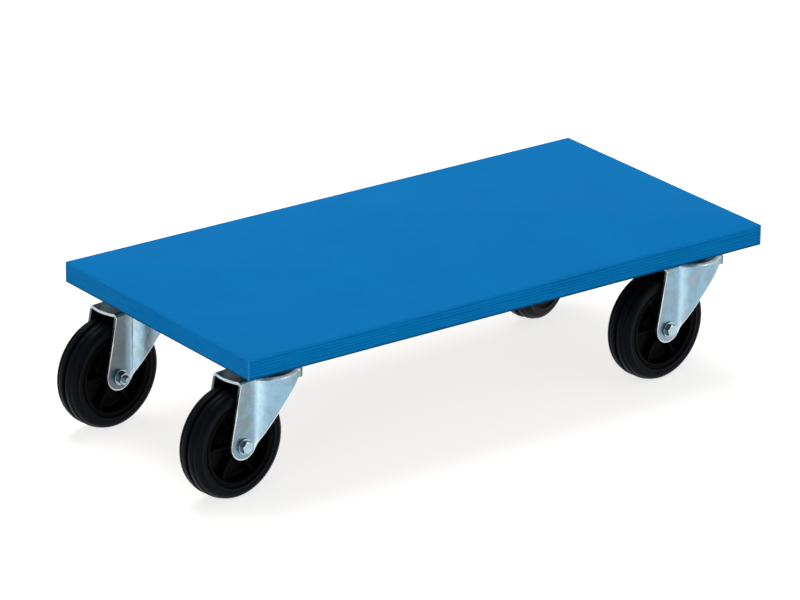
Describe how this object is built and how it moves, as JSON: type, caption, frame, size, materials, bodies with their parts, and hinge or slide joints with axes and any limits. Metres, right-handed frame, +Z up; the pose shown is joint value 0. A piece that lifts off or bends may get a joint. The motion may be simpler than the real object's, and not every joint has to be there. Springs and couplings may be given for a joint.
{
  "type": "platform trolley",
  "caption": "Flat rectangular painted plywood platform trolley rolling on swivel casters with black rubber-tyred wheels in zinc-plated pressed-steel forks.",
  "frame": {"origin": "centre of the whole trolley's bounding box, on the floor the wheels stand on", "axes": "+X along the deck's length, away from the end the wheels trail past; +Y across the deck; +Z up, out of the deck's top face"},
  "size_m": [0.7506, 0.35, 0.174],
  "materials": {
    "painted_deck": "satin blue paint",
    "zinc_steel": "bright zinc plate with a blue passivation",
    "bearing_steel": "ground",
    "seal": "matte",
    "rim_plastic": "satin moulded",
    "tyre_rubber": "matte rubber"
  },
  "bodies": {
    "deck": {"deck_board": "painted_deck", "plate_screws": "zinc_steel", "mounting_plate_front_left": "zinc_steel", "mounting_plate_rear_left": "zinc_steel", "mounting_plate_front_right": "zinc_steel", "mounting_plate_rear_right": "zinc_steel", "kingpin_front_left": "zinc_steel", "kingpin_rear_left": "zinc_steel", "kingpin_front_right": "zinc_steel", "kingpin_rear_right": "zinc_steel", "lower_race_front_left": "bearing_steel", "lower_race_rear_left": "bearing_steel", "lower_race_front_right": "bearing_steel", "lower_race_rear_right": "bearing_steel", "upper_balls_front_left": "bearing_steel", "upper_balls_rear_left": "bearing_steel", "upper_balls_front_right": "bearing_steel", "upper_balls_rear_right": "bearing_steel", "lower_balls_front_left": "bearing_steel", "lower_balls_rear_left": "bearing_steel", "lower_balls_front_right": "bearing_steel", "lower_balls_rear_right": "bearing_steel"},
    "fork_front_left": {"dust_ring_front_left": "seal", "fork_front_left": "zinc_steel", "axle_bolt_front_left": "zinc_steel", "axle_washers_front_left": "zinc_steel", "axle_nut_front_left": "zinc_steel", "axle_sleeve_front_left": "bearing_steel"},
    "wheel_front_left": {"roller_bearing_front_left": "bearing_steel", "wheel_rim_front_left": "rim_plastic", "tyre_front_left": "tyre_rubber"},
    "fork_rear_left": {"dust_ring_rear_left": "seal", "fork_rear_left": "zinc_steel", "axle_bolt_rear_left": "zinc_steel", "axle_washers_rear_left": "zinc_steel", "axle_nut_rear_left": "zinc_steel", "axle_sleeve_rear_left": "bearing_steel"},
    "wheel_rear_left": {"roller_bearing_rear_left": "bearing_steel", "wheel_rim_rear_left": "rim_plastic", "tyre_rear_left": "tyre_rubber"},
    "fork_front_right": {"dust_ring_front_right": "seal", "fork_front_right": "zinc_steel", "axle_bolt_front_right": "zinc_steel", "axle_washers_front_right": "zinc_steel", "axle_nut_front_right": "zinc_steel", "axle_sleeve_front_right": "bearing_steel"},
    "wheel_front_right": {"roller_bearing_front_right": "bearing_steel", "wheel_rim_front_right": "rim_plastic", "tyre_front_right": "tyre_rubber"},
    "fork_rear_right": {"dust_ring_rear_right": "seal", "fork_rear_right": "zinc_steel", "axle_bolt_rear_right": "zinc_steel", "axle_washers_rear_right": "zinc_steel", "axle_nut_rear_right": "zinc_steel", "axle_sleeve_rear_right": "bearing_steel"},
    "wheel_rear_right": {"roller_bearing_rear_right": "bearing_steel", "wheel_rim_rear_right": "rim_plastic", "tyre_rear_right": "tyre_rubber"}
  },
  "joints": [
    {"name": "swivel_front_left", "type": "hinge", "parent": "deck", "child": "fork_front_left", "pos_m": [-0.26469, -0.118, 0.14], "axis": [0, 0, 1], "continuous": true},
    {"name": "swivel_rear_left", "type": "hinge", "parent": "deck", "child": "fork_rear_left", "pos_m": [-0.26469, 0.118, 0.14], "axis": [0, 0, 1], "continuous": true},
    {"name": "swivel_front_right", "type": "hinge", "parent": "deck", "child": "fork_front_right", "pos_m": [0.31531, -0.118, 0.14], "axis": [0, 0, 1], "continuous": true},
    {"name": "swivel_rear_right", "type": "hinge", "parent": "deck", "child": "fork_rear_right", "pos_m": [0.31531, 0.118, 0.14], "axis": [0, 0, 1], "continuous": true},
    {"name": "roll_front_left", "type": "hinge", "parent": "fork_front_left", "child": "wheel_front_left", "pos_m": [-0.31233, -0.12385, 0.0625], "axis": [-0.1219, 0.9925, 0], "continuous": true},
    {"name": "roll_rear_left", "type": "hinge", "parent": "fork_rear_left", "child": "wheel_rear_left", "pos_m": [-0.31233, 0.11215, 0.0625], "axis": [-0.1219, 0.9925, 0], "continuous": true},
    {"name": "roll_front_right", "type": "hinge", "parent": "fork_front_right", "child": "wheel_front_right", "pos_m": [0.26758, -0.12302, 0.0625], "axis": [-0.1045, 0.9945, 0], "continuous": true},
    {"name": "roll_rear_right", "type": "hinge", "parent": "fork_rear_right", "child": "wheel_rear_right", "pos_m": [0.27146, 0.09848, 0.0625], "axis": [-0.4067, 0.9135, 0], "continuous": true}
  ]
}
